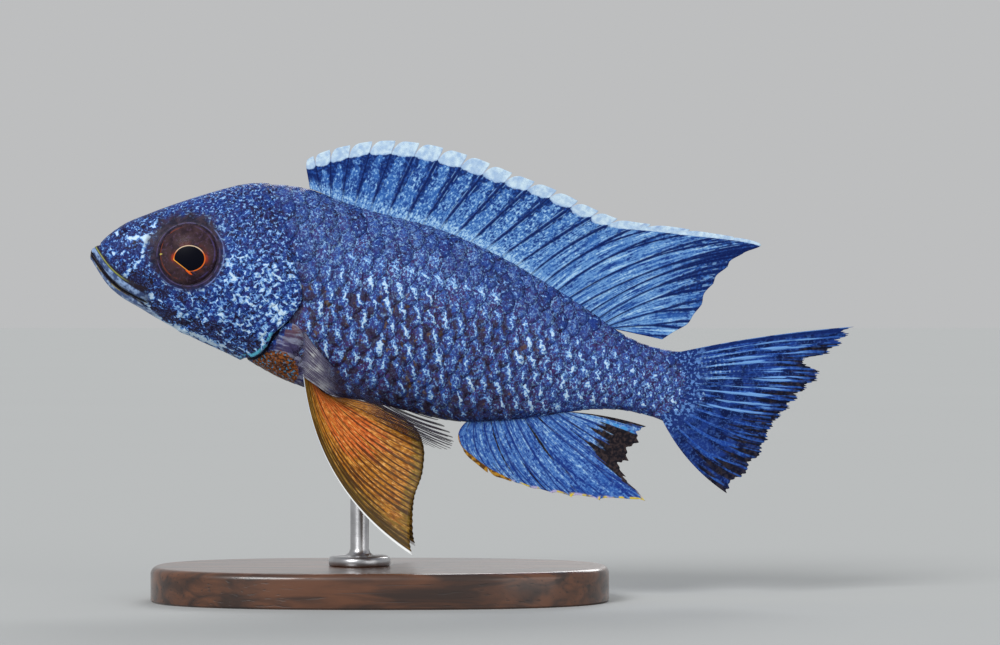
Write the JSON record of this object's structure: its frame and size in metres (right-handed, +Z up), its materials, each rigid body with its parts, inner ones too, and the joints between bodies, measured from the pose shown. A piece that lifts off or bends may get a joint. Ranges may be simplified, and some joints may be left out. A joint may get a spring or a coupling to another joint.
{
  "type": "peacock cichlid model on a display stand",
  "caption": "Life-size male peacock cichlid, swimming nose up with fins spread, held over an oval wooden base by a short steel rod under the belly.",
  "frame": {"origin": "middle of the whole model's box on the surface it stands on: the underside of the stand's base", "axes": "+Z up; +X from the fish's snout towards its tail, with the body pitched nose up by 12 degrees; the fish's left side faces -Y"},
  "size_m": [0.1243, 0.042, 0.0744],
  "materials": {
    "skin": "satin scaled skin, violet blue",
    "fin_webbing": "satin blue webbing over darker rays",
    "pelvic_webbing": "satin orange webbing with a white leading edge",
    "pectoral_webbing": "clear greyish webbing with fine dark rays",
    "eye": "polished, red-brown iris with an orange ring",
    "stand_wood": "dark wood, satin lacquer",
    "stand_steel": "brushed"
  },
  "bodies": {
    "root": {"head": "skin", "lower_jaw": "skin", "gill_cover_left": "skin", "gill_cover_right": "skin", "trunk": "skin", "tail_stalk": "skin", "eye_left": "eye", "eye_right": "eye", "dorsal_fin": "fin_webbing", "anal_fin": "fin_webbing", "caudal_fin": "fin_webbing", "pectoral_fin_left": "pectoral_webbing", "pectoral_fin_right": "pectoral_webbing", "pelvic_fin_left": "pelvic_webbing", "pelvic_fin_right": "pelvic_webbing", "stand_base": "stand_wood", "stand_rod": "stand_steel"}
  },
  "joints": []
}
